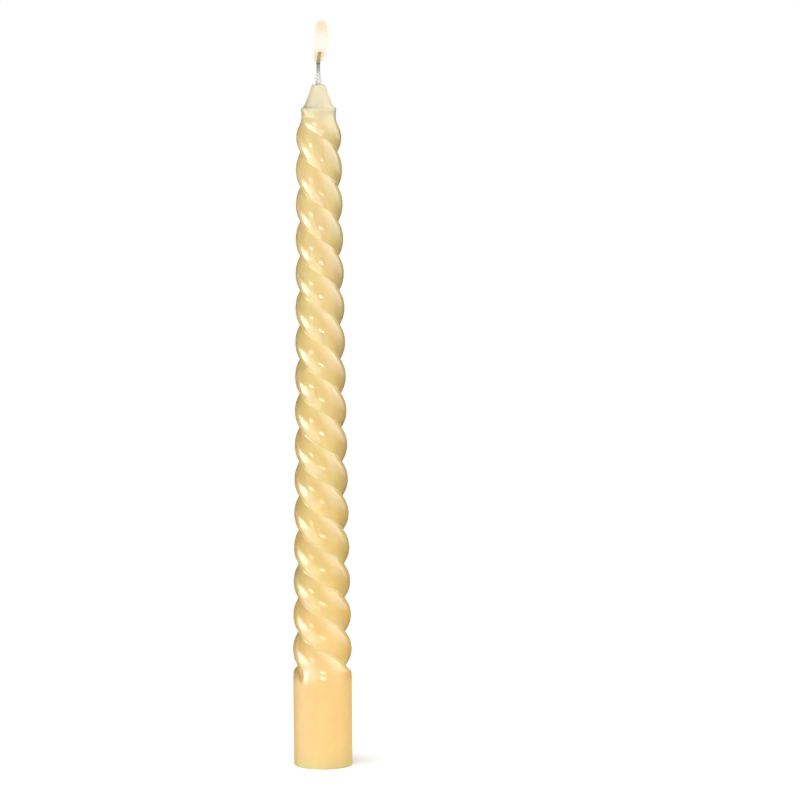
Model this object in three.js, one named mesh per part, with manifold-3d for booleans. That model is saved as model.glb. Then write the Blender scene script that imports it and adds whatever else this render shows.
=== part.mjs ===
// Spiral taper candle, alight: wax core, coloured coat, wick and flame.
// Millimetres, +Z up, with the origin at the centre of the foot's underside.

import * as THREE from 'three';
import { mergeVertices } from 'three/addons/utils/BufferGeometryUtils.js';
import Module from 'manifold-3d';

// Wax body, measured from the table up
const waxHeight = 254;
const footDiameter = 22;
const footHeight = 31.3;
const footEdgeRadius = 0.6;

// Top end, measured from the cut tip down
const coneHeight = 8.6;
const collarHeight = 3.6;
const shoulderHeight = 8;
const collarDiameter = 13.1;
const coneHollow = 0.5;
const tipLand = 1.15;
const tipEdgeRadius = 0.4;

// Twist: two lobes that turn left-handed, and taper towards the top
const twistLead = 25.53;
const twistRadiusAtFoot = 11.15;
const twistRadiusAtShoulder = 8.4;
const taperBow = 0.2;
const twistEasing = 6.4;
const grooveRunOut = 6.4;
const runOutSoftness = 0.9;

// Section of the twist at its foot end: each lobe is an ellipse set off the axis
const lobeOffset = 2.8;
const lobeHalfBreadth = 9;
const creaseRadius = 1;

// Layers
const coatThickness = 0.65;
const clearance = 0.3;

// Wick: straight in the wax, flared where it leaves it, and bent over in the flame
const wickDiameter = 1.5;
const wickStandOut = 12.4;
const wickFootInset = 0.5;
const wickFlareDiameter = 2.4;
const wickFlareHeight = 6;
const wickTipRound = 0.5;

// Flame: it stands round the wick's tip and leans with it
const flameHeight = 16.2;
const flameDiameter = 4.4;
const flameOverlap = 4.6;
const flameFullness = 0.35;
const leanReach = 1.3;
const leanHeight = 8;

// Fineness of the faces
const outerColumns = 20;
const innerColumns = 16;
const roundSteps = 3;
const coneSteps = 5;
const wickSides = 12;
const wickStepHeight = 1;
const flameSides = 16;
const flameSteps = 14;

// Sizes that follow from them
const footRadius = footDiameter / 2;
const collarRadius = collarDiameter / 2;
const ledgeZ = waxHeight - coneHeight;
const shoulderTopZ = ledgeZ - collarHeight;
const shoulderFootZ = shoulderTopZ - shoulderHeight;
const coreInset = coatThickness + clearance;
const wickRadius = wickDiameter / 2;
const boreRadius = wickRadius + clearance;
const tipRadius = boreRadius + tipLand;
const wickTopZ = waxHeight + wickStandOut;
const flameFootZ = wickTopZ - flameOverlap;

const { lerp, smoothstep } = THREE.MathUtils;

// The twist's crest radius, tapering in a slight bow from its foot to its shoulder
function taperRadius(z) {
  const share = (z - footHeight) / (shoulderFootZ - footHeight);
  const straight = lerp(twistRadiusAtFoot, twistRadiusAtShoulder, share);
  return straight - 4 * taperBow * share * (1 - share);
}

// How far the twist has risen out of the plain foot, from 0 to 1
function riseFromFoot(z) {
  return smoothstep(z, footHeight, footHeight + grooveRunOut);
}

// The body's outline at its crests: foot, taper, shoulder and collar
function crestRadius(z) {
  if (z >= shoulderTopZ) return collarRadius;
  if (z > shoulderFootZ) {
    const share = (shoulderTopZ - z) / shoulderHeight;
    return lerp(collarRadius, taperRadius(z), Math.sin((share * Math.PI) / 2));
  }
  return lerp(footRadius, taperRadius(z), riseFromFoot(z));
}

// Radius of the lobed section at the twist's foot end, by the angle from a lobe's crest
function lobeRadius(angle) {
  const length = twistRadiusAtFoot - lobeOffset;
  const breadth = lobeHalfBreadth;
  const softness = creaseRadius / breadth / 2;
  const along = Math.hypot(Math.cos(angle), softness * Math.sin(angle));
  const across = Math.sin(angle);
  const a = (along / length) ** 2 + (across / breadth) ** 2;
  const b = (lobeOffset * along) / length ** 2;
  const c = (lobeOffset / length) ** 2 - 1;
  return (b + Math.sqrt(b * b - a * c)) / a;
}

// Left-handed turn of the lobes at a height, in radians. The turn eases off where it meets the foot.
function twistAngle(z) {
  const up = Math.max(z - footHeight, 0);
  const turned = up > twistEasing ? up : (twistEasing + up ** 2 / twistEasing) / 2;
  return (-2 * Math.PI * turned) / twistLead;
}

// How deep the grooves lie under the crests: full along the twist, nothing in foot and collar.
// At the foot a groove grows shallower and narrower, with a soft edge, until it is gone.
function grooveDepth(angle, z) {
  if (z <= footHeight || z >= shoulderTopZ) return 0;
  const taper = taperRadius(z);
  const full = taper * (1 - lobeRadius(angle - twistAngle(z)) / twistRadiusAtFoot);
  if (z > shoulderFootZ) return (full * (crestRadius(z) - collarRadius)) / (taper - collarRadius);
  const filled = 1 - riseFromFoot(z);
  const deepest = twistRadiusAtFoot - lobeRadius(Math.PI / 2);
  const open = full - deepest * filled;
  return open > 0 ? open ** 2 / (open + runOutSoftness * filled) : 0;
}

// Evenly spaced heights from one to the other, both ends included
function heights(from, to, spacing) {
  const steps = Math.max(1, Math.round(Math.abs(to - from) / spacing));
  return Array.from({ length: steps + 1 }, (_, i) => lerp(from, to, i / steps));
}

// The outline from the top of the foot to the ledge, at a depth under the crests.
// A lobe turns by one column from ring to ring, so the faces' edges run along the lobes.
function bodyOutline(inset, columns) {
  const spacing = twistLead / columns;
  const outline = [];
  for (let z = footHeight; z < ledgeZ - spacing / 2; z += spacing) {
    outline.push(new THREE.Vector2(crestRadius(z) - inset, z));
  }
  outline.push(new THREE.Vector2(collarRadius - inset, ledgeZ));
  return outline;
}

// A quarter round from one direction to another, as points about a centre
function quarterRound(centreRadius, centreZ, radius, fromAngle) {
  return heights(0, Math.PI / 2, Math.PI / 2 / roundSteps).map(
    (turn) =>
      new THREE.Vector2(
        centreRadius + radius * Math.cos(fromAngle + turn),
        centreZ + radius * Math.sin(fromAngle + turn),
      ),
  );
}

// A profile of radius and height turned about Z
function turned(profile, sides) {
  const geometry = new THREE.LatheGeometry(profile, sides);
  geometry.rotateX(Math.PI / 2);
  geometry.deleteAttribute('normal');
  geometry.deleteAttribute('uv');
  return mergeVertices(geometry);
}

// Presses the twist's grooves into a turned body
function grooved(geometry) {
  const position = geometry.attributes.position;
  const point = new THREE.Vector3();
  for (let i = 0; i < position.count; i++) {
    point.fromBufferAttribute(position, i);
    const angle = Math.atan2(point.y, point.x);
    const radius = Math.hypot(point.x, point.y) - grooveDepth(angle, point.z);
    position.setXY(i, radius * Math.cos(angle), radius * Math.sin(angle));
  }
  return geometry;
}

// Leans the wick's bare end and the flame over to +X
function leaned(geometry) {
  const position = geometry.attributes.position;
  for (let i = 0; i < position.count; i++) {
    const share = smoothstep(position.getZ(i), flameFootZ, flameFootZ + leanHeight);
    position.setX(i, position.getX(i) + leanReach * share);
  }
  return geometry;
}

const wasm = await Module();
wasm.setup();

// A closed geometry as a solid that can be cut
function solid(geometry) {
  return new wasm.Manifold(
    new wasm.Mesh({
      numProp: 3,
      vertProperties: geometry.attributes.position.array,
      triVerts: new Uint32Array(geometry.index.array),
    }),
  );
}

// One geometry with another cut out of it
function cut(geometry, cutter) {
  const mesh = solid(geometry).subtract(solid(cutter)).getMesh();
  return new THREE.BufferGeometry()
    .setAttribute('position', new THREE.BufferAttribute(mesh.vertProperties, 3))
    .setIndex(new THREE.BufferAttribute(mesh.triVerts, 1));
}

// Coloured wax dipped over the core, open at the foot and cut off at the ledge
function coatGeometry() {
  const footEdge = quarterRound(
    footRadius - footEdgeRadius,
    footEdgeRadius,
    footEdgeRadius,
    -Math.PI / 2,
  );
  const outside = [
    new THREE.Vector2(0, 0),
    ...footEdge,
    ...bodyOutline(0, outerColumns),
    new THREE.Vector2(0, ledgeZ),
  ];
  const inside = [
    new THREE.Vector2(0, -coatThickness),
    new THREE.Vector2(footRadius - coatThickness, -coatThickness),
    ...bodyOutline(coatThickness, innerColumns),
    new THREE.Vector2(collarRadius - coatThickness, ledgeZ + coatThickness),
    new THREE.Vector2(0, ledgeZ + coatThickness),
  ];
  return cut(grooved(turned(outside, outerColumns)), grooved(turned(inside, innerColumns)));
}

// Pale wax core: it fills the coat, ends in the bare hollow-sided cone, and has the wick's bore
function coreGeometry() {
  const coneFoot = new THREE.Vector2(collarRadius - coreInset, ledgeZ);
  const coneTop = new THREE.Vector2(tipRadius + tipEdgeRadius, waxHeight - tipEdgeRadius);
  const pull = coneFoot.clone().lerp(coneTop, 0.5).sub(new THREE.Vector2(coneHollow, 0));
  const cone = new THREE.QuadraticBezierCurve(coneFoot, pull, coneTop).getPoints(coneSteps);
  const tipEdge = quarterRound(tipRadius, waxHeight - tipEdgeRadius, tipEdgeRadius, 0);
  const boreFoot = new THREE.Vector2(boreRadius, 0);
  const profile = [
    boreFoot,
    new THREE.Vector2(footRadius - coreInset, 0),
    ...bodyOutline(coreInset, innerColumns),
    ...cone.slice(1),
    ...tipEdge.slice(1),
    new THREE.Vector2(boreRadius, waxHeight),
    boreFoot,
  ];
  return grooved(turned(profile, innerColumns));
}

// The wick's outline, or a larger one for the room that it needs
function wickProfile(grow) {
  const radius = wickRadius + grow;
  const flareFootZ = waxHeight + clearance;
  const flareTopZ = flareFootZ + wickFlareHeight;
  const standOut = heights(flareFootZ, wickTopZ - wickTipRound, wickStepHeight).map((z) => {
    const flare = lerp(wickFlareDiameter / 2, wickRadius, smoothstep(z, flareFootZ, flareTopZ));
    return new THREE.Vector2(flare + grow, z);
  });
  return [
    new THREE.Vector2(0, wickFootInset - grow),
    new THREE.Vector2(radius, wickFootInset - grow),
    new THREE.Vector2(radius, waxHeight),
    ...standOut,
    new THREE.Vector2(radius - wickTipRound, wickTopZ + grow),
    new THREE.Vector2(0, wickTopZ + grow),
  ];
}

// Braided cotton wick, one rod from near the foot to its charred tip
function wickGeometry() {
  return leaned(turned(wickProfile(0), wickSides));
}

// Flame: a full teardrop, hollow where the wick stands in it
function flameGeometry() {
  const profile = heights(0, 1, 1 / flameSteps).map((share) => {
    const swell = Math.sin(Math.PI * share) ** flameFullness;
    return new THREE.Vector2((flameDiameter / 2) * swell, flameFootZ + flameHeight * share);
  });
  profile[0].x = 0;
  profile[flameSteps].x = 0;
  const room = leaned(turned(wickProfile(clearance), wickSides));
  return cut(leaned(turned(profile, flameSides)), room);
}

// Colours and finishes
const coatMaterial = new THREE.MeshStandardMaterial({ color: '#ebcf93', roughness: 0.28, metalness: 0 });
const coreMaterial = new THREE.MeshStandardMaterial({ color: '#eee0b9', roughness: 0.4, metalness: 0 });
const wickMaterial = new THREE.MeshStandardMaterial({ color: '#8f8b84', roughness: 0.9, metalness: 0 });
const flameMaterial = new THREE.MeshStandardMaterial({
  color: '#ffe9c6',
  emissive: '#ffdca6',
  roughness: 1,
  metalness: 0,
});

// One named piece of the candle
function piece(name, geometry, material) {
  geometry.computeVertexNormals();
  const mesh = new THREE.Mesh(geometry, material);
  mesh.name = name;
  return mesh;
}

const candle = new THREE.Group();
candle.add(
  piece('wax_core', coreGeometry(), coreMaterial),
  piece('colour_coat', coatGeometry(), coatMaterial),
  piece('wick', wickGeometry(), wickMaterial),
  piece('flame', flameGeometry(), flameMaterial),
);

export default candle;
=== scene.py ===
"""Spiral taper candle, alight: its wax coat, wax core, braided wick and flame, in a small white studio."""

import math

import bmesh
import bpy
from bpy.props import FloatProperty, FloatVectorProperty, IntProperty, PointerProperty
from mathutils import Matrix, Vector


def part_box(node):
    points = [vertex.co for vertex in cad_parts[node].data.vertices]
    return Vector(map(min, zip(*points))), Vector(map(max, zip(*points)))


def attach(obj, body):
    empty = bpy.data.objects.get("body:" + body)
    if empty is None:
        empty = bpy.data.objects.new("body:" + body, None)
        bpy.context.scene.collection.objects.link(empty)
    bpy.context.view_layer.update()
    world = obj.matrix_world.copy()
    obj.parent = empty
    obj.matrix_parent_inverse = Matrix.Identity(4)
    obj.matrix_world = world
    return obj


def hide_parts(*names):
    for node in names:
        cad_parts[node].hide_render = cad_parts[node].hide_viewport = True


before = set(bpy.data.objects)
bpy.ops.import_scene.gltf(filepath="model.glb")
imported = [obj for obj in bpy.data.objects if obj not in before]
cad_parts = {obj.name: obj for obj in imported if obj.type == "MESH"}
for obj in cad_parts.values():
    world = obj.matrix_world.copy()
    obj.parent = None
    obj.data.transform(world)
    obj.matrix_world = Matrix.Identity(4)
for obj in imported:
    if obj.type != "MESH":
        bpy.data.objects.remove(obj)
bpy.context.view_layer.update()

bl_info = {
    "name": "Spiral Taper Candle",
    "version": (1, 0, 0),
    "blender": (4, 5, 0),
    "location": "3D View > Sidebar > Candle",
    "description": "Makes a lit taper candle with a double twist, and the studio that it stands in",
    "category": "Object",
}

WAX_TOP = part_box("wax_core")[1].z
LEDGE_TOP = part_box("colour_coat")[1].z
MM = 0.001

BORE = 3.5 * MM  # radius of the coat's inside, hidden in the shaft
WALL = 1.5 * MM  # depth of the coat's wide mouth at the ledge, and half its depth at the underside
LEDGE_WIDTH = 0.7 * MM  # coat that shows round the cone
SOLE_WIDTH = 0.95 * MM  # coat that shows round the underside
SEAM = 0.01 * MM  # gap that keeps the coat and the core apart
MIRROR_DARK = (0.22, 0.14, 0.04)  # what the dark cards look like in the wax
FLOOR_GLOW = (1.0, 0.86, 0.5)  # warm light that comes back from the floor


def length(name, description, default):
    """A size that a user may change, in metres."""
    return FloatProperty(name=name, description=description, default=default, unit="LENGTH", precision=5)


def colour(name, description, default):
    """A colour that a user may change."""
    return FloatVectorProperty(
        name=name, description=description, default=default, subtype="COLOR", size=3, min=0, max=1
    )


def share(name, description, default):
    """A share from 0 to 1 that a user may change."""
    return FloatProperty(
        name=name, description=description, default=default, min=0, max=1, subtype="FACTOR"
    )


def strength(name, description, default):
    """How bright a light is, which a user may change."""
    return FloatProperty(name=name, description=description, default=default, min=0)


class CandleSizes(bpy.types.PropertyGroup):
    wax_height: length("Wax Height", "Height of the wax, from the foot to the cut tip", WAX_TOP)
    foot_radius: length("Foot Radius", "Radius of the plain foot", 11 * MM)
    foot_height: length("Foot Height", "Height at which the plain foot ends", 31.3 * MM)
    foot_round: length("Foot Edge", "Rounding of the foot's lower edge", 0.6 * MM)
    ledge_height: length("Ledge Height", "Height of the ledge under the cone", LEDGE_TOP)
    cone_hollow: length("Cone Hollow", "How far the cone's flanks are pulled in", 0.5 * MM)
    collar_height: length("Collar Height", "Height of the plain collar under the ledge", 3.6 * MM)
    collar_radius: length("Collar Radius", "Radius of the collar", 6.55 * MM)
    shoulder_height: length("Shoulder Height", "Height over which the twist draws in to the collar", 8 * MM)
    twist_lead: length("Twist Lead", "Height of one whole turn of the twist", 25.53 * MM)
    twist_foot: length("Twist Radius At Foot", "Crest radius of the twist at its lower end", 11.15 * MM)
    twist_shoulder: length("Twist Radius At Top", "Crest radius of the twist at its upper end", 8.4 * MM)
    taper_bow: length("Taper Bow", "How far the taper bows inwards halfway up", 0.2 * MM)
    easing: length("Twist Easing", "Height over which the turn eases off above the foot", 6.4 * MM)
    run_out: length("Groove Run-Out", "Height over which the grooves close up above the foot", 6.4 * MM)
    foot_hint: length("Foot Hint", "How deep the grooves still show beside their narrow ends", 0.33 * MM)
    collar_hint: length("Collar Hint", "How deep the grooves still show in the collar", 0.2 * MM)
    lobe_offset: length("Lobe Offset", "How far each lobe's centre lies off the axis", 2.8 * MM)
    lobe_half_breadth: length("Lobe Half Breadth", "Half the breadth of one lobe", 9 * MM)
    crease_radius: length("Crease Radius", "Rounding at the bottom of a groove", 1 * MM)
    coat_round: length("Ledge Edge", "Rounding of the ledge's outer edge", 0.28 * MM)
    wick_radius: length("Wick Radius", "Radius of the braid above its flare", 0.75 * MM)
    wick_flare: length("Wick Flare", "Radius of the braid where it leaves the wax", 1.2 * MM)
    wick_top: length("Wick Top", "Height of the wick's charred tip", 266.4 * MM)
    flame_foot: length("Flame Foot", "Height at which the flame begins", 261.8 * MM)
    flame_height: length("Flame Height", "Height of the flame", 16.2 * MM)
    flame_radius: length("Flame Radius", "Largest radius of the flame", 2.2 * MM)
    lean: length("Lean", "How far the wick's tip and the flame lean over", 1.3 * MM)
    lean_height: length("Lean Height", "Height over which the lean comes in", 8 * MM)
    columns: IntProperty(name="Columns", description="Faces round the twist", default=96, min=24, max=160)


class CandleColours(bpy.types.PropertyGroup):
    coat: colour("Coat", "Warm ivory wax of the shaft", (0.83, 0.612, 0.225))
    coat_top: colour("Coat Top", "Paler wax towards the tip", (0.78, 0.615, 0.285))
    coat_foot: colour("Coat Foot", "Deeper wax of the foot", (0.95, 0.655, 0.29))
    # painted_crease_light: painted light, a pale band along the grooves that lifts the shade in the creases
    # and stands in for their pale reflections
    painted_crease_light: colour("Coat Groove", "Paler wax along the grooves", (0.89, 0.715, 0.34))
    coat_deep: colour("Coat Deep", "Wax where the dye is a little stronger", (0.76, 0.50, 0.14))
    core: colour("Core", "Bare wax of the cone and the underside", (0.85, 0.765, 0.54))
    # rim: painted light, a warm bright band on both sides of the ledge that lifts the shade where the coat
    # meets the cone
    rim: colour("Rim", "Warm bright wax on both sides of the ledge", (1.0, 0.8, 0.52))
    cotton: colour("Cotton", "Clean waxed cotton", (0.72, 0.71, 0.67))
    ash: colour("Ash", "Cotton greyed by heat", (0.34, 0.335, 0.33))
    char: colour("Char", "Burnt cotton at the tip", (0.09, 0.082, 0.07))
    ember: colour("Ember", "Glow on the very tip", (1.0, 0.32, 0.07))
    flame_heart: colour("Flame Heart", "Bright middle of the flame", (0.98, 0.955, 0.86))
    flame_peak: colour("Flame Peak", "Peach top of the flame", (1.0, 0.735, 0.445))
    flame_root: colour("Flame Root", "Warm orange round the wick", (0.93, 0.63, 0.30))
    flame_glow: colour("Flame Glow", "Faint glow beside the flame", (1.0, 0.94, 0.35))
    wax_translucence: share("Translucence", "How much light passes into the wax", 0.75)


class CandleStudio(bpy.types.PropertyGroup):
    camera_distance: length("Camera Distance", "From the candle's axis to the camera", 1.29)
    camera_height: length("Camera Height", "Height of the camera above the floor", 0.2508)
    camera_aside: length("Camera Aside", "How far the camera stands to the right", 0.0295)
    camera_pitch: FloatProperty(
        name="Camera Pitch",
        description="How far the camera looks down",
        default=math.radians(5.04),
        subtype="ANGLE",
    )
    camera_roll: FloatProperty(
        name="Camera Roll",
        description="How far the camera is tilted",
        default=math.radians(-0.295),
        subtype="ANGLE",
    )
    focal_length: FloatProperty(name="Focal Length", description="Camera lens in millimetres", default=156.8)
    room_light: strength("Room Light", "Even light from all sides", 0.12)
    fill_right: strength("Fill Right", "Radiance of the light at the upper right", 4.4)
    fill_left: strength("Fill Left", "Radiance of the light at the lower left", 4.6)
    fill_back: strength("Fill Back", "Radiance of the light behind the candle", 3.2)
    bounce: strength("Bounce", "Radiance of the floor's glow at the right", 2.7)
    glow: strength("Glow", "Radiance of the small light beside the tip", 1.8)
    floor_light: strength("Floor Light", "Radiance of the floor's light", 6.6)


def mix(a, b, amount):
    """The value between a and b at an amount from 0 to 1."""
    return a + (b - a) * amount


def ease(value, start, end):
    """0 up to start, 1 from end on, and a smooth rise between them."""
    t = min(max((value - start) / (end - start), 0), 1)
    return t * t * (3 - 2 * t)


def steps(start, end, spacing):
    """Even values from start to end, both included."""
    count = max(1, round(abs(end - start) / spacing))
    return [mix(start, end, i / count) for i in range(count + 1)]


def arc(centre, radius, start, end, count):
    """Points on an arc, as (x, z), with angles in degrees."""
    turns = [math.radians(mix(start, end, i / count)) for i in range(count + 1)]
    return [(centre[0] + radius * math.cos(t), centre[1] + radius * math.sin(t)) for t in turns]


def taper_radius(sizes, z):
    """Crest radius of the twist, with its slight bow."""
    top = sizes.ledge_height - sizes.collar_height - sizes.shoulder_height
    along = (z - sizes.foot_height) / (top - sizes.foot_height)
    return mix(sizes.twist_foot, sizes.twist_shoulder, along) - 4 * sizes.taper_bow * along * (1 - along)


def rise(sizes, z):
    """How far the twist has risen out of the plain foot, from 0 to 1."""
    return ease(z, sizes.foot_height, sizes.foot_height + sizes.run_out)


def crest_radius(sizes, z):
    """The body's outline at its crests: foot, taper, shoulder and collar."""
    collar_foot = sizes.ledge_height - sizes.collar_height
    if z >= collar_foot:
        return sizes.collar_radius
    below = (collar_foot - z) / sizes.shoulder_height
    if below < 1:
        return mix(sizes.collar_radius, taper_radius(sizes, z), math.sin(below * math.pi / 2))
    return mix(sizes.foot_radius, taper_radius(sizes, z), rise(sizes, z))


def lobe_radius(sizes, angle):
    """Radius of the section at the twist's lower end, by the angle from a lobe's crest."""
    reach = sizes.twist_foot - sizes.lobe_offset
    softness = sizes.crease_radius / sizes.lobe_half_breadth / 2
    across = math.sin(angle)
    along = math.hypot(math.cos(angle), softness * across)
    a = (along / reach) ** 2 + (across / sizes.lobe_half_breadth) ** 2
    b = sizes.lobe_offset * along / reach**2
    c = (sizes.lobe_offset / reach) ** 2 - 1
    return (b + math.sqrt(b * b - a * c)) / a


def twist_angle(sizes, z):
    """Left-handed turn of the lobes at a height, in radians. The turn eases off where it meets the foot."""
    up = max(z - sizes.foot_height, 0)
    eased = sizes.easing
    turned = up if up > eased else (eased + up * up / eased) / 2
    return -2 * math.pi * turned / sizes.twist_lead


def hinted(full, most):
    """A shallow copy of a groove, never deeper than most."""
    return most * full / (full + most)


def deepest_groove(sizes):
    """Depth of a groove's crease under the crests, at the twist's lower end."""
    return sizes.twist_foot - lobe_radius(sizes, math.pi / 2)


def groove_depth(sizes, angle, z):
    """How deep the grooves lie under the crests.

    They are full along the twist. In the collar they are only hinted at. Above the foot they close up to
    narrow slits with a hint of the uneased groove beside them, and in the foot there are none.
    """
    collar_foot = sizes.ledge_height - sizes.collar_height
    shoulder_foot = collar_foot - sizes.shoulder_height
    plain_rim = sizes.ledge_height - 0.4 * MM
    if z <= sizes.foot_height or z >= plain_rim:
        return 0.0
    taper = taper_radius(sizes, z)
    full = taper * (1 - lobe_radius(sizes, angle - twist_angle(sizes, z)) / sizes.twist_foot)
    if z > shoulder_foot:
        drawn_in = full * (crest_radius(sizes, z) - sizes.collar_radius) / (taper - sizes.collar_radius)
        kept = ease(z, shoulder_foot, collar_foot) * ease(z, plain_rim, plain_rim - 1.2 * MM)
        return drawn_in + kept * hinted(full, sizes.collar_hint)
    filled = 1 - rise(sizes, z)
    deepest = deepest_groove(sizes)
    share = max((full - deepest * filled) / (deepest * (1 - filled)), 0)
    slit = deepest * (1 - filled) ** 0.7 * share ** (1 + 2 * filled)
    straight = -2 * math.pi * (z - sizes.foot_height) / sizes.twist_lead
    beside = taper * (1 - lobe_radius(sizes, angle - straight) / sizes.twist_foot)
    return slit + 4 * (1 - filled) * filled * hinted(beside, sizes.foot_hint)


def turn(bm, profile, columns, closed=False):
    """Spins a profile of (radius, height) about the axis, and returns the new vertices."""
    verts = [bm.verts.new((radius, 0, z)) for radius, z in profile]
    edges = [bm.edges.new(pair) for pair in zip(verts, verts[1:])]
    if closed:
        edges.append(bm.edges.new((verts[-1], verts[0])))
    before = set(bm.verts) - set(verts)
    bmesh.ops.spin(
        bm,
        geom=verts + edges,
        axis=(0, 0, 1),
        cent=(0, 0, 0),
        angle=2 * math.pi,
        steps=columns,
        use_merge=True,
        use_duplicate=False,
    )
    return [v for v in bm.verts if v not in before]


def rim(bm, radius, z):
    """The open edges of a sheet that lie on a circle of that radius and height."""
    near = 0.02 * MM
    return [
        e
        for e in bm.edges
        if e.is_boundary
        and all(abs(v.co.z - z) < near and abs(v.co.xy.length - radius) < near for v in e.verts)
    ]


def lean_over(sizes, verts):
    """Leans the wick's bare end and the flame over to one side."""
    for v in verts:
        v.co.x += sizes.lean * ease(v.co.z, sizes.flame_foot, sizes.flame_foot + sizes.lean_height)


def finish_mesh(bm, name, material, node, sharp=40):
    """Makes the object from a bmesh, with smooth faces, crisp corners and its place in the frame."""
    bmesh.ops.remove_doubles(bm, verts=bm.verts, dist=0.002 * MM)
    bmesh.ops.recalc_face_normals(bm, faces=bm.faces)
    for face in bm.faces:
        face.smooth = True
    for edge in bm.edges:
        edge.smooth = edge.calc_face_angle(0) < math.radians(sharp)
    mesh = bpy.data.meshes.new(name)
    bm.to_mesh(mesh)
    bm.free()
    piece = bpy.data.objects.new(name, mesh)
    bpy.context.scene.collection.objects.link(piece)
    mesh.materials.append(material)
    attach(piece, "root")
    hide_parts(node)
    return piece


class Wire:
    """One socket of a material. Python's sums on it add Math nodes."""

    def __init__(self, tree, socket=None):
        self.tree = tree
        self.socket = socket

    def add(self, kind, settings=None, sockets=None, out=None):
        """Adds any other node: its settings first, then the values or links of its sockets."""
        node = self.tree.nodes.new(kind)
        for name, value in (settings or {}).items():
            setattr(node, name, value)
        for name, value in (sockets or {}).items():
            if isinstance(name, int):
                into = node.inputs[name]
            else:
                into = next(s for s in node.inputs if s.enabled and s.name == name)
            if isinstance(value, Wire):
                self.tree.links.new(value.socket, into)
            else:
                into.default_value = value
        if out is None:
            found = next((s for s in node.outputs if s.enabled), None)
        else:
            found = next(s for s in node.outputs if s.enabled and s.name == out)
        return Wire(self.tree, found)

    def calculate(self, operation, *values):
        return self.add("ShaderNodeMath", {"operation": operation}, dict(enumerate(values)))

    def __add__(self, other):
        return self.calculate("ADD", self, other)

    def __radd__(self, other):
        return self.calculate("ADD", other, self)

    def __sub__(self, other):
        return self.calculate("SUBTRACT", self, other)

    def __rsub__(self, other):
        return self.calculate("SUBTRACT", other, self)

    def __mul__(self, other):
        return self.calculate("MULTIPLY", self, other)

    def __rmul__(self, other):
        return self.calculate("MULTIPLY", other, self)

    def __truediv__(self, other):
        return self.calculate("DIVIDE", self, other)

    def __pow__(self, other):
        return self.calculate("POWER", self, other)


def new_material(name):
    """An empty node material, as a wire to add its nodes from."""
    material = bpy.data.materials.new(name)
    material.use_nodes = True
    material.node_tree.nodes.clear()
    return material, Wire(material.node_tree)


def opaque(shade):
    """A colour as a socket takes it: a wire as it is, or a plain colour with full opacity."""
    return shade if isinstance(shade, Wire) else (*shade, 1)


def paint(wire, low, high, amount):
    """A colour between two colours."""
    return wire.add(
        "ShaderNodeMix",
        {"data_type": "RGBA", "clamp_factor": True},
        {"Factor": amount, "A": opaque(low), "B": opaque(high)},
        out="Result",
    )


def fade(wire, value, start, end):
    """A smooth rise from 0 at start to 1 at end."""
    return wire.add(
        "ShaderNodeMapRange",
        {"interpolation_type": "SMOOTHSTEP"},
        {"Value": value, "From Min": start, "From Max": end, "To Min": 0.0, "To Max": 1.0},
    )


def noise(wire, place, scale, detail=2.0, roughness=0.5):
    """Soft cloudy noise round 0.5."""
    return wire.add(
        "ShaderNodeTexNoise",
        {"noise_dimensions": "3D"},
        {"Vector": place, "Scale": scale, "Detail": detail, "Roughness": roughness},
        out="Fac",
    )


def stretched(wire, place, scale):
    """A place with each axis scaled, so that a pattern is drawn out along one."""
    return wire.add(
        "ShaderNodeMapping", {"vector_type": "POINT"}, {"Vector": place, "Scale": scale}, out="Vector"
    )


def object_place(wire):
    """The place on the object, and its height, in metres."""
    place = wire.add("ShaderNodeTexCoord", {}, {}, out="Object")
    return place, wire.add("ShaderNodeSeparateXYZ", {}, {"Vector": place}, out="Z")


def principled(wire, sockets):
    """One glossy or matt surface."""
    return wire.add("ShaderNodeBsdfPrincipled", {}, sockets, out="BSDF")


def surface(wire, sockets):
    """Ends a material in one surface."""
    wire.add("ShaderNodeOutputMaterial", {}, {"Surface": principled(wire, sockets)})


def bumped(wire, height):
    """Surface normals from a height in metres."""
    return wire.add("ShaderNodeBump", {}, {"Height": height, "Strength": 1.0, "Distance": 1.0}, out="Normal")


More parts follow.
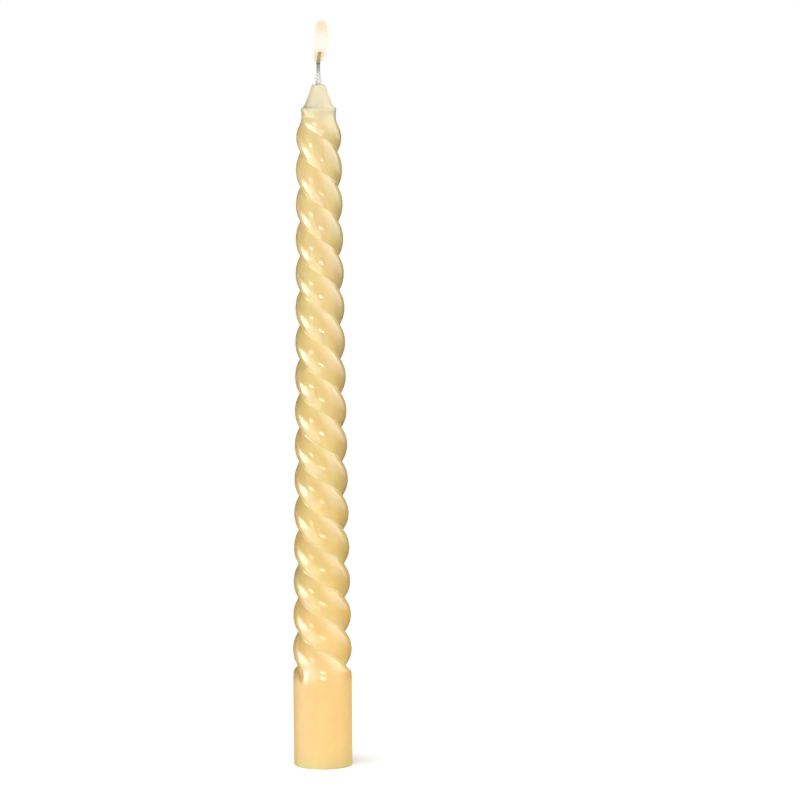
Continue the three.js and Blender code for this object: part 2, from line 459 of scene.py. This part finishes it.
def coat_material(sizes, colours):
    """Glossy dipped wax with drag lines, fine waves and a few specks.

    It is deeper in the foot and paler towards the tip. Along the grooves it has painted light, which lifts
    the shade in the creases and stands in for their pale reflections, and a warm bright band of painted light
    at the ledge lifts the shade there. The foot is dull from handling.
    """
    material, wire = new_material("dipped_wax")
    place, height = object_place(wire)
    unwound = wire.add("ShaderNodeAttribute", {"attribute_name": "unwound"}, {}, out="Vector")
    groove = wire.add("ShaderNodeAttribute", {"attribute_name": "groove"}, {}, out="Fac")

    foot, ledge = sizes.foot_height, sizes.ledge_height
    base = paint(wire, colours.coat, colours.coat_top, fade(wire, height, foot, ledge))
    base = paint(wire, colours.coat_foot, base, fade(wire, height, foot - 4 * MM, foot + 40 * MM))
    base = paint(wire, base, colours.core, fade(wire, height, ledge - 12 * MM, ledge) * 0.6)
    # Painted light: a warm bright band just under the ledge lifts the shade in the corner round the cone
    base = paint(wire, base, colours.rim, fade(wire, height, ledge - 1.8 * MM, ledge))
    cloud = noise(wire, place, 130.0, 3.0)
    streak = noise(wire, stretched(wire, unwound, (900, 900, 40)), 1.0, 3.0, 0.6)
    base = paint(wire, base, colours.coat_deep, (cloud - 0.4) * 0.2 + (streak - 0.4) * 0.2)
    # Painted light along the grooves: it lifts the shade in the creases and stands in for their pale
    # reflections
    base = paint(wire, base, colours.painted_crease_light, groove**2.0 * fade(wire, height, foot, foot + 8 * MM))
    away = wire.add(
        "ShaderNodeTexVoronoi",
        {"feature": "F1"},
        {"Vector": place, "Scale": 320.0, "Randomness": 1.0},
        out="Distance",
    )
    sparse = fade(wire, noise(wire, place, 95.0, 0.0), 0.62, 0.7)
    speck = (1.0 - fade(wire, away, 0.05, 0.13)) * sparse
    base = paint(wire, base, colours.core, speck * 0.6)

    waves = noise(wire, place, 210.0, 1.0)
    grain = noise(wire, place, 2600.0, 2.0)
    relief = waves * (0.02 * MM) + streak * (0.006 * MM) + grain * (0.0008 * MM) - speck * (0.01 * MM)
    wax = {
        "Base Color": base,
        "IOR": 1.45,
        "Subsurface Weight": colours.wax_translucence,
        "Subsurface Radius": (1.0, 0.32, 0.08),
        "Subsurface Scale": 3.2 * MM,
        "Normal": bumped(wire, relief),
    }
    glossy = principled(wire, {**wax, "Roughness": 0.12 + cloud * 0.08 + speck * 0.1})
    handled = principled(wire, {**wax, "Roughness": 0.45 + cloud * 0.1, "Specular IOR Level": 0.12})
    twisted = fade(wire, height, foot - 1 * MM, foot + 4 * MM)
    both = wire.add("ShaderNodeMixShader", {}, {0: twisted, 1: handled, 2: glossy}, out="Shader")
    wire.add("ShaderNodeOutputMaterial", {}, {"Surface": both})
    return material


def core_material(sizes, colours):
    """Bare satin wax with faint turning lines from the cutter, a film of melt at the wick, and painted light
    round the ledge.
    """
    material, wire = new_material("bare_wax")
    place, height = object_place(wire)
    cloud = noise(wire, place, 260.0, 3.0)
    rings = noise(wire, stretched(wire, place, (60, 60, 3800)), 1.0, 2.0)
    base = paint(wire, colours.core, colours.coat_top, (cloud - 0.42) * 0.5)
    ledge, top = sizes.ledge_height, sizes.wax_height
    base = paint(wire, base, colours.cotton, fade(wire, height, top - 2 * MM, top) * 0.25)
    # Painted light: a warm bright band round the ledge and the cone's foot lifts the shade in that corner
    above_foot = fade(wire, height, ledge - 9 * MM, ledge - 3 * MM)
    below_cone = 1.0 - fade(wire, height, ledge, ledge + 2 * MM)
    base = paint(wire, base, colours.rim, above_foot * below_cone)
    relief = cloud * (0.012 * MM) + rings * (0.003 * MM)
    surface(
        wire,
        {
            "Base Color": base,
            "Roughness": 0.34 + rings * 0.12,
            "IOR": 1.45,
            "Specular IOR Level": 0.3,
            "Subsurface Weight": colours.wax_translucence,
            "Subsurface Radius": (1.0, 0.75, 0.45),
            "Subsurface Scale": 2.2 * MM,
            "Normal": bumped(wire, relief),
        },
    )
    return material


def wick_material(sizes, colours):
    """Cotton yarn: waxed and white at its foot, greyed above, and charred to black at its tip."""
    material, wire = new_material("braided_cotton")
    place, height = object_place(wire)
    cloud = noise(wire, place, 900.0, 3.0, 0.6)
    fibre = noise(wire, stretched(wire, place, (9000, 9000, 1500)), 1.0, 2.0)
    level = height + (cloud - 0.5) * (1.6 * MM)
    top = sizes.wick_top
    base = paint(wire, colours.cotton, colours.ash, fade(wire, level, top - 9.2 * MM, top - 6.2 * MM))
    base = paint(wire, base, colours.char, fade(wire, level, top - 6 * MM, top - 4 * MM))
    fluff = (0.5, 0.49, 0.46)
    base = paint(wire, base, fluff, (fibre - 0.5) * 0.12)
    glow = fade(wire, level, top - 1.5 * MM, top + 0.2 * MM) * 0.4
    light = paint(wire, (0.0, 0.0, 0.0), colours.ember, glow)
    surface(
        wire,
        {
            "Base Color": base,
            "Roughness": 0.5 + fade(wire, level, top - 9 * MM, top - 6 * MM) * 0.4,
            "Emission Color": light,
            "Emission Strength": 1.0,
            "Normal": bumped(wire, fibre * (0.02 * MM)),
        },
    )
    return material


def flame_material(sizes, colours, name, body, root, heart, clear):
    """Burning gas, orange round the wick, near white in the middle and peach above.

    A shell is as dense as body, denser by root round the wick, whitened by heart, and clear up to a share of
    the flame's height. The outermost shell is a faint yellow glow.
    """
    material, wire = new_material(name)
    place, height = object_place(wire)
    up = (height - sizes.flame_foot) / sizes.flame_height
    if name == "flame_glow":
        light = paint(wire, colours.flame_glow, colours.flame_peak, fade(wire, up, 0.6, 0.9))
    else:
        light = paint(wire, colours.flame_root, colours.flame_heart, fade(wire, up, 0.2, 0.36))
        light = paint(wire, light, colours.flame_peak, fade(wire, up, 0.52, 0.86))
        white_hot = (1.0, 1.0, 0.96)
        light = paint(wire, light, white_hot, heart)
    flicker = noise(wire, stretched(wire, place, (700, 700, 160)), 1.0, 1.0)
    dense = root * (1.0 - fade(wire, up, 0.16, 0.34)) + body * (1.0 - 0.55 * fade(wire, up, 0.9, 1.0))
    veil = dense * fade(wire, up, clear, clear + 0.14) * (0.9 + 0.2 * flicker)
    surface(
        wire,
        {
            "Base Color": (0.0, 0.0, 0.0, 1.0),
            "Roughness": 1.0,
            "Specular IOR Level": 0.0,
            "Emission Color": light,
            "Emission Strength": 1.0,
            "Alpha": veil,
        },
    )
    return material


def section_warp(angle):
    """Crowds the columns towards the creases, a quarter turn from each crest."""
    return angle + 0.3 * math.sin(2 * angle)


def coat_outline(sizes):
    """Outline of the coat from its underside round the foot and up to the ledge."""
    foot, edge = sizes.foot_radius, sizes.foot_round
    top, collar, bevel = sizes.ledge_height, sizes.collar_radius, sizes.coat_round
    outline = arc((foot - edge, edge), edge, -90, 0, 5)
    outline += [(foot, z) for z in steps(edge, sizes.foot_height, 1.5 * MM)[1:-1]]
    for z in steps(sizes.foot_height, top - sizes.collar_height, 0.42 * MM):
        outline.append((crest_radius(sizes, z), z))
    outline += [(collar, z) for z in steps(top - sizes.collar_height, top - bevel, 0.6 * MM)[1:-1]]
    return outline + arc((collar - bevel, top - bevel), bevel, 0, 90, 4)


class CANDLE_OT_coat(bpy.types.Operator):
    """Make the coloured wax coat with its double twist"""

    bl_idname = "candle.coat"
    bl_label = "Wax Coat"

    def execute(self, context):
        sizes, colours = context.scene.candle_sizes, context.scene.candle_colours
        bm = bmesh.new()
        groove = bm.verts.layers.float.new("groove")
        unwound = bm.verts.layers.float_vector.new("unwound")
        outline = coat_outline(sizes)
        deepest = deepest_groove(sizes)
        collar_foot = sizes.ledge_height - sizes.collar_height
        for v in turn(bm, outline, sizes.columns):
            section = section_warp(math.atan2(v.co.y, v.co.x))
            angle = section + twist_angle(sizes, min(v.co.z, collar_foot))
            crest = v.co.xy.length
            depth = groove_depth(sizes, angle, v.co.z)
            v[groove] = depth / deepest
            v[unwound] = Vector((crest * math.cos(section), crest * math.sin(section), v.co.z))
            v.co.xy = Vector((math.cos(angle), math.sin(angle))) * (crest - depth)

        top = sizes.ledge_height
        neck, sole = sizes.collar_radius - LEDGE_WIDTH, sizes.foot_radius - SOLE_WIDTH
        inside = [(neck, top), (neck, top - WALL), (BORE, top - WALL)]
        inside += [(BORE, 2 * WALL), (sole, 2 * WALL), (sole, 0)]
        turn(bm, inside, sizes.columns)
        for outer, inner, z in ((outline[0][0], sole, 0), (outline[-1][0], neck, top)):
            bmesh.ops.bridge_loops(bm, edges=rim(bm, outer, z) + rim(bm, inner, z))
        finish_mesh(bm, "coat", coat_material(sizes, colours), "colour_coat")
        return {"FINISHED"}


class CANDLE_OT_core(bpy.types.Operator):
    """Make the bare wax cone and the pale wax inside the foot"""

    bl_idname = "candle.core"
    bl_label = "Wax Core"

    def execute(self, context):
        sizes, colours = context.scene.candle_sizes, context.scene.candle_colours
        bm = bmesh.new()
        top, bore = sizes.ledge_height, BORE - 10 * SEAM
        neck = sizes.collar_radius - LEDGE_WIDTH - SEAM
        sole = sizes.foot_radius - SOLE_WIDTH - SEAM
        hole = sizes.wick_radius + 0.3 * MM
        tip, crown = 1.85 * MM, 0.8 * MM  # radius of the tip's flat land, and of its rounded edge
        cone_foot, cone_top = (neck, top), (tip + crown, sizes.wax_height - crown)
        pull = ((neck + tip + crown) / 2 - sizes.cone_hollow, (top + sizes.wax_height - crown) / 2)
        cone = []
        for t in steps(0, 1, 0.05):
            low = [mix(a, b, t) for a, b in zip(cone_foot, pull)]
            high = [mix(a, b, t) for a, b in zip(pull, cone_top)]
            cone.append(tuple(mix(a, b, t) for a, b in zip(low, high)))
        profile = [(hole, 0), (sole, 0), (sole, 2 * WALL)]
        profile += [(bore, 2 * WALL), (bore, top - WALL), (neck, top - WALL)]
        profile += cone + arc((tip, sizes.wax_height - crown), crown, 0, 90, 5)[1:]
        profile += [(mix(tip, hole, 0.5), sizes.wax_height - 0.05 * MM), (hole, sizes.wax_height - 0.02 * MM)]
        turn(bm, profile, 72, closed=True)
        finish_mesh(bm, "core", core_material(sizes, colours), "wax_core")
        return {"FINISHED"}


def yarn(points, radii, ends):
    """A round yarn along a line of points, as a mesh with closed ends. It narrows by ends at its top."""
    line = bpy.data.curves.new("yarn", "CURVE")
    line.dimensions = "3D"
    line.bevel_depth = 1
    line.bevel_resolution = 2
    line.use_fill_caps = True
    spline = line.splines.new("POLY")
    spline.points.add(len(points) - 1)
    for i, (at, place, radius) in enumerate(zip(spline.points, points, radii)):
        at.co = (*place, 1)
        at.radius = radius * mix(1, ends, ease(i, 0.9 * len(points), len(points)))
    holder = bpy.data.objects.new("yarn", line)
    mesh = bpy.data.meshes.new_from_object(holder)
    bpy.data.objects.remove(holder)
    bpy.data.curves.remove(line)
    return mesh


def braid_radius(sizes, z):
    """Radius of the braid: flared where it leaves the wax."""
    flare = ease(z, sizes.wax_height, sizes.wax_height + 6 * MM)
    return mix(sizes.wick_flare, sizes.wick_radius, flare)


class CANDLE_OT_wick(bpy.types.Operator):
    """Make the braided wick, waxed at its foot and charred at its tip"""

    bl_idname = "candle.wick"
    bl_label = "Wick"

    def execute(self, context):
        sizes, colours = context.scene.candle_sizes, context.scene.candle_colours
        bm = bmesh.new()
        strand, pitch = 0.24 * MM, 5.2 * MM
        start = sizes.wax_height - 1.5 * MM
        heights = steps(start, sizes.wick_top - 0.25 * MM, 0.12 * MM)
        for k in range(8):
            way = 1 if k % 2 else -1
            first = 2 * math.pi * (k // 2) / 4
            line = []
            for z in heights:
                angle = first + way * 2 * math.pi * (z - start) / pitch
                over = 0.07 * MM * math.cos(4 * angle - way * first * 2 + k * math.pi / 2)
                out = braid_radius(sizes, max(z, sizes.wax_height)) - strand - 0.05 * MM + over
                line.append((out * math.cos(angle), out * math.sin(angle), z))
            mesh = yarn(line, [strand] * len(line), 0.5)
            bm.from_mesh(mesh)
            bpy.data.meshes.remove(mesh)
        heights = steps(0.5 * MM, sizes.wick_top - 0.6 * MM, 1 * MM)
        radii = [braid_radius(sizes, z) - strand if z > start else 0.5 * MM for z in heights]
        mesh = yarn([(0, 0, z) for z in heights], radii, 0.7)
        bm.from_mesh(mesh)
        bpy.data.meshes.remove(mesh)
        lean_over(sizes, bm.verts)
        finish_mesh(bm, "wick_braid", wick_material(sizes, colours), "wick", sharp=80)
        return {"FINISHED"}


# The flame's shells: name, share of its radius and height, body, root, heart and clear
FLAME_SHELLS = (
    ("flame_glow", 1.45, 1.04, 0.07, 0.02, 0.0, 0.0),
    ("flame_veil", 1.06, 1.02, 0.16, 0.22, 0.0, -0.06),
    ("flame_body", 0.94, 0.94, 0.42, 0.0, 0.1, 0.24),
    ("flame_heart", 0.74, 0.74, 0.6, 0.0, 0.6, 0.26),
)


class CANDLE_OT_flame(bpy.types.Operator):
    """Make the flame from thin shells, one in another"""

    bl_idname = "candle.flame"
    bl_label = "Flame"

    def execute(self, context):
        sizes, colours = context.scene.candle_sizes, context.scene.candle_colours
        for name, width, tall, *look in FLAME_SHELLS:
            bm = bmesh.new()
            profile = []
            foot = sizes.flame_foot + sizes.flame_height * (1 - tall) * 0.5
            for t in steps(0, 1, 0.03):
                swell = max(math.sin(math.pi * t), 0) ** 0.3 * mix(1, 1.08, ease(t, 0.1, 0.6))
                profile.append((width * sizes.flame_radius * swell, foot + sizes.flame_height * tall * t))
            profile[0] = (0, profile[0][1])
            profile[-1] = (0, profile[-1][1])
            turn(bm, profile, 40)
            lean_over(sizes, bm.verts)
            shell = flame_material(sizes, colours, name, *look)
            piece = finish_mesh(bm, name, shell, "flame", sharp=180)
            piece.visible_shadow = False
        return {"FINISHED"}


# Height that the lamps and cards face, halfway up the candle, in metres
HALFWAY = 0.145

# Lamps that are only mirrored in the wax: name, azimuth, elevation and distance, width, height, radiance
MIRRORED = (
    ("panel_right", (-15, 20, 1.2), 2.4, 2.0, 2.0),
    ("panel_right_heart", (-5, 28, 1.1), 1.27, 0.8, 2.5),
    ("panel_left", (-158, -28, 1.2), 1.84, 1.39, 4.0),
    ("panel_left_heart", (-172.7, -11.7, 0.483), 0.38, 0.22, 8.0),
    ("spot_front_left", (-124.4, 14.8, 1.0), 0.28, 0.14, 20.0),
    ("spot_front", (-90.4, -19.7, 1.2), 0.44, 0.15, 20.0),
)

# Dark cards: name, azimuth, elevation and distance, width, height
FLAGS = (
    ("flag_behind", (95, 0, 0.8), 1.9, 2.0),
    ("flag_upper_left", (165, 40, 0.8), 0.92, 0.92),
    ("flag_lower_right", (15, -42, 0.8), 0.92, 0.92),
)


def aim(lamp, target):
    """Turns a lamp or card from where it stands towards a point."""
    lamp.rotation_euler = (Vector(target) - lamp.location).to_track_quat("-Z", "Y").to_euler()


def stand(thing, azimuth, elevation, distance, target):
    """Stands a lamp or card round the candle, facing it. Azimuth -90 is in front, and 180 is the left."""
    bpy.context.scene.collection.objects.link(thing)
    turned, up = math.radians(azimuth), math.radians(elevation)
    way = Vector((math.cos(turned) * math.cos(up), math.sin(turned) * math.cos(up), math.sin(up)))
    thing.location = Vector(target) + way * distance
    aim(thing, target)


def softbox(name, place, width, height, radiance, mirrored=False, target=HALFWAY):
    """A rectangular lamp that faces the axis at a target height.

    It either lights the wax or is only mirrored in it.
    """
    light = bpy.data.lights.new(name, "AREA")
    light.shape = "RECTANGLE"
    light.size, light.size_y = width, height
    light.energy = radiance * math.pi * width * height
    lamp = bpy.data.objects.new(name, light)
    stand(lamp, *place, (0, 0, target))
    lamp.visible_camera = False
    lamp.visible_glossy = mirrored
    lamp.visible_diffuse = not mirrored
    return lamp


def keep_to(lamp, pieces):
    """Lets a lamp light some objects only."""
    lit = bpy.data.collections.new(lamp.name + "_lit")
    for piece in pieces:
        lit.objects.link(piece)
    lamp.light_linking.receiver_collection = lit


def flag(name, place, width, height):
    """A dark card. Only reflections see it."""
    bm = bmesh.new()
    bmesh.ops.create_grid(bm, x_segments=1, y_segments=1, size=0.5)
    bmesh.ops.scale(bm, vec=(width, height, 1), verts=bm.verts)
    mesh = bpy.data.meshes.new(name)
    bm.to_mesh(mesh)
    bm.free()
    card = bpy.data.objects.new(name, mesh)
    stand(card, *place, (0, 0, HALFWAY))
    material, wire = new_material("dark_card")
    dark = wire.add("ShaderNodeEmission", {}, {"Color": opaque(MIRROR_DARK), "Strength": 1.0}, out="Emission")
    wire.add("ShaderNodeOutputMaterial", {}, {"Surface": dark})
    mesh.materials.append(material)
    card.visible_camera = card.visible_diffuse = card.visible_transmission = card.visible_shadow = False


def glowing(wire, level):
    """Plain white light from a surface."""
    return wire.add("ShaderNodeEmission", {}, {"Color": (1, 1, 1, 1), "Strength": level}, out="Emission")


def matt(wire, grey):
    """A plain grey surface."""
    return wire.add("ShaderNodeBsdfDiffuse", {}, {"Color": (grey, grey, grey, 1)}, out="BSDF")


def blend(wire, amount, first, second):
    """A share of one shader and the rest of another."""
    return wire.add("ShaderNodeMixShader", {}, {0: amount, 1: first, 2: second}, out="Shader")


def seen(wire):
    """1 for camera rays, mirror rays and clear rays, and 0 for the rays that carry light."""
    camera = wire.add("ShaderNodeLightPath", {}, {}, out="Is Camera Ray")
    mirror = wire.add("ShaderNodeLightPath", {}, {}, out="Is Glossy Ray")
    clear = wire.add("ShaderNodeLightPath", {}, {}, out="Is Transmission Ray")
    return camera + mirror + clear


def make_floor(context):
    """A round white floor. It takes the candle's shadow close by, and is plain white farther out."""
    bm = bmesh.new()
    bmesh.ops.create_circle(bm, cap_ends=True, segments=96, radius=6)
    bmesh.ops.translate(bm, verts=bm.verts, vec=(0, 0, -0.02 * MM))
    mesh = bpy.data.meshes.new("floor")
    bm.to_mesh(mesh)
    bm.free()
    floor = bpy.data.objects.new("floor", mesh)
    context.scene.collection.objects.link(floor)
    material, wire = new_material("white_floor")
    place = wire.add("ShaderNodeTexCoord", {}, {}, out="Object")
    away = wire.add("ShaderNodeVectorMath", {"operation": "LENGTH"}, {"Vector": place}, out="Value")
    near = wire.add("ShaderNodeAddShader", {}, {0: matt(wire, 0.5), 1: glowing(wire, 0.5)}, out="Shader")
    look = blend(wire, fade(wire, away, 0.12, 0.2), near, glowing(wire, 1.0))
    white = blend(wire, seen(wire), matt(wire, 0.8), look)
    wire.add("ShaderNodeOutputMaterial", {}, {"Surface": white})
    mesh.materials.append(material)
    floor.visible_shadow = floor.visible_glossy = floor.visible_diffuse = False
    return floor


def make_room(context):
    """Plain white all round for the camera, and a low even light for the candle."""
    world = bpy.data.worlds.new("white_room")
    world.use_nodes = True
    world.node_tree.nodes.clear()
    wire = Wire(world.node_tree)
    levels = (context.scene.candle_studio.room_light, 1.0)
    room, back = (
        wire.add("ShaderNodeBackground", {}, {"Color": (1, 1, 1, 1), "Strength": level}) for level in levels
    )
    wire.add("ShaderNodeOutputWorld", {}, {"Surface": blend(wire, seen(wire), room, back)})
    context.scene.world = world


def hang_lamps(studio, candle, floor):
    """The lamps that light the wax and the floor, then those that are only mirrored, and the dark cards."""
    right = softbox("fill_right", (-51, 30, 1.2), 1.1, 0.8, studio.fill_right)
    back = softbox("fill_back", (90, 12, 1.2), 1.4, 1.0, studio.fill_back)
    keep_to(right, candle)
    keep_to(back, candle)
    softbox("fill_left", (-133, -29, 1.2), 1.1, 0.8, studio.fill_left)
    bounce = softbox("bounce_right", (-8, 0, 0.076), 0.04, 0.03, studio.bounce, target=0.016)
    bounce.data.color = FLOOR_GLOW
    softbox("glow_upper_left", (-172, 10, 0.076), 0.04, 0.04, studio.glow, target=0.235)
    keep_to(softbox("floor_light", (-135, 35, 1.0), 2.4, 1.0, studio.floor_light), [floor])
    for name, place, width, height, radiance in MIRRORED:
        softbox(name, place, width, height, radiance, mirrored=True)
    for name, place, width, height in FLAGS:
        flag(name, place, width, height)


def set_camera(context):
    """The camera, fitted to the photograph's outline."""
    studio = context.scene.candle_studio
    lens = bpy.data.cameras.new("camera")
    lens.lens, lens.sensor_width, lens.sensor_fit = studio.focal_length, 36, "HORIZONTAL"
    lens.clip_start, lens.clip_end = 0.05, 30
    camera = bpy.data.objects.new("camera", lens)
    context.scene.collection.objects.link(camera)
    camera.location = (studio.camera_aside, -studio.camera_distance, studio.camera_height)
    look = Matrix.Rotation(math.pi / 2 - studio.camera_pitch, 4, "X")
    camera.rotation_euler = (look @ Matrix.Rotation(studio.camera_roll, 4, "Z")).to_euler()
    context.scene.camera = camera
    context.scene.view_settings.view_transform = "Standard"


class CANDLE_OT_studio(bpy.types.Operator):
    """Make the white floor, the light and the camera"""

    bl_idname = "candle.studio"
    bl_label = "Studio"

    def execute(self, context):
        floor = make_floor(context)
        make_room(context)
        candle = [o for o in context.scene.objects if o.type == "MESH" and o is not floor]
        hang_lamps(context.scene.candle_studio, candle, floor)
        set_camera(context)
        return {"FINISHED"}


class CANDLE_PT_panel(bpy.types.Panel):
    """Lists the candle's pieces and its studio"""

    bl_idname = "CANDLE_PT_panel"
    bl_label = "Spiral Taper Candle"
    bl_space_type = "VIEW_3D"
    bl_region_type = "UI"
    bl_category = "Candle"

    def draw(self, context):
        for step in STEPS:
            self.layout.operator(step.bl_idname)
        for group in (context.scene.candle_sizes, context.scene.candle_colours, context.scene.candle_studio):
            box = self.layout.box()
            for name in type(group).__annotations__:
                box.prop(group, name)


GROUPS = {"candle_sizes": CandleSizes, "candle_colours": CandleColours, "candle_studio": CandleStudio}
STEPS = (CANDLE_OT_coat, CANDLE_OT_core, CANDLE_OT_wick, CANDLE_OT_flame, CANDLE_OT_studio)


def register():
    for known in (*GROUPS.values(), *STEPS, CANDLE_PT_panel):
        bpy.utils.register_class(known)
    for name, group in GROUPS.items():
        setattr(bpy.types.Scene, name, PointerProperty(type=group))


def unregister():
    for name in GROUPS:
        delattr(bpy.types.Scene, name)
    for known in reversed((*GROUPS.values(), *STEPS, CANDLE_PT_panel)):
        bpy.utils.unregister_class(known)


def main():
    """Makes the whole candle and its studio, and keeps the imported parts, hidden."""
    register()
    bpy.ops.candle.coat()
    bpy.ops.candle.core()
    bpy.ops.candle.wick()
    bpy.ops.candle.flame()
    bpy.ops.candle.studio()


if __name__ == "__main__":
    main()
